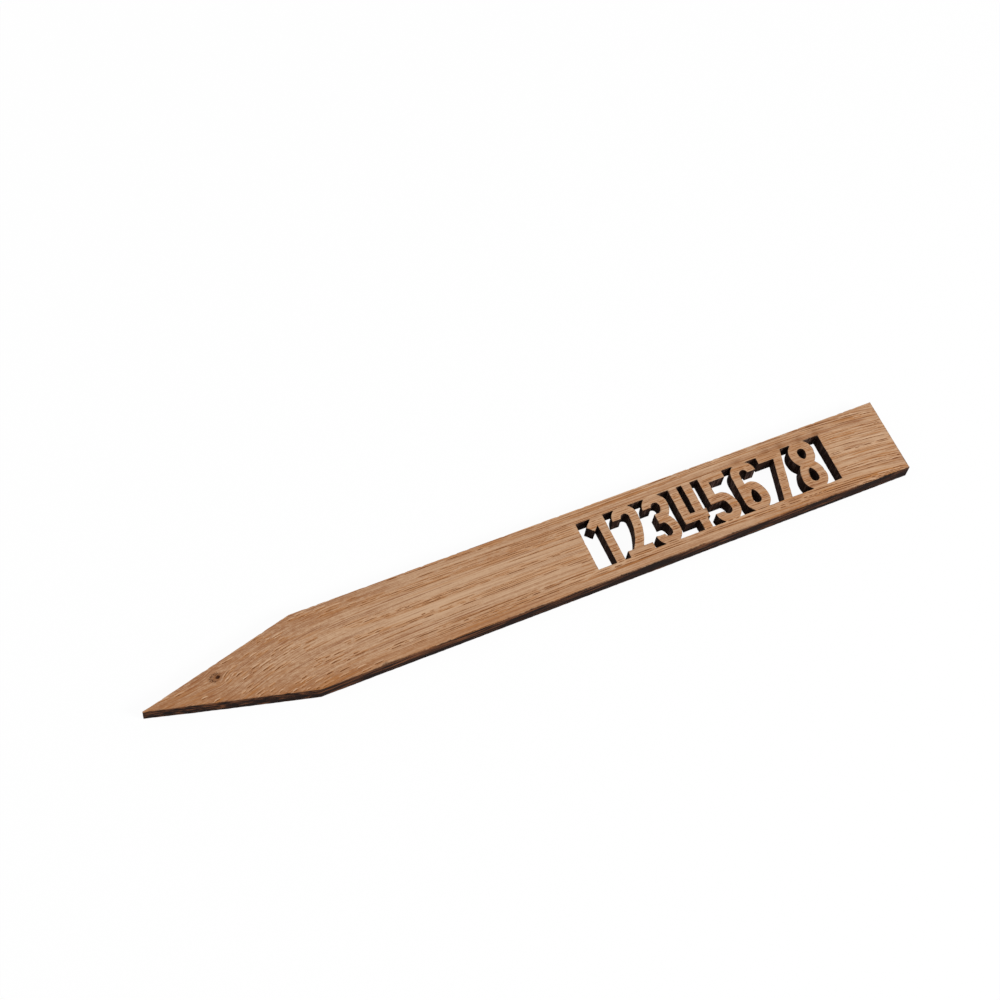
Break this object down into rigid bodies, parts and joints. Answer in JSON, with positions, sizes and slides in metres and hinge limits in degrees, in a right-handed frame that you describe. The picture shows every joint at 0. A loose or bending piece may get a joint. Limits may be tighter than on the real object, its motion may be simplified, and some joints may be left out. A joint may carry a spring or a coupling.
{
  "type": "plant label stake",
  "caption": "Flat pointed oak stake for a plant pot or bed, with a row of plain numerals cut right through the label near its square end.",
  "frame": {"origin": "under the middle of the stake's bounding box, on the back face it lies on", "axes": "+X along the stake from its point to its square end, +Y across it, +Z out of the front face"},
  "size_m": [0.1942, 0.0202, 0.0042],
  "materials": {
    "oak": "planed bare oak with open pores, cut edges scorched dark brown"
  },
  "bodies": {
    "root": {"stake": "oak"}
  },
  "joints": []
}
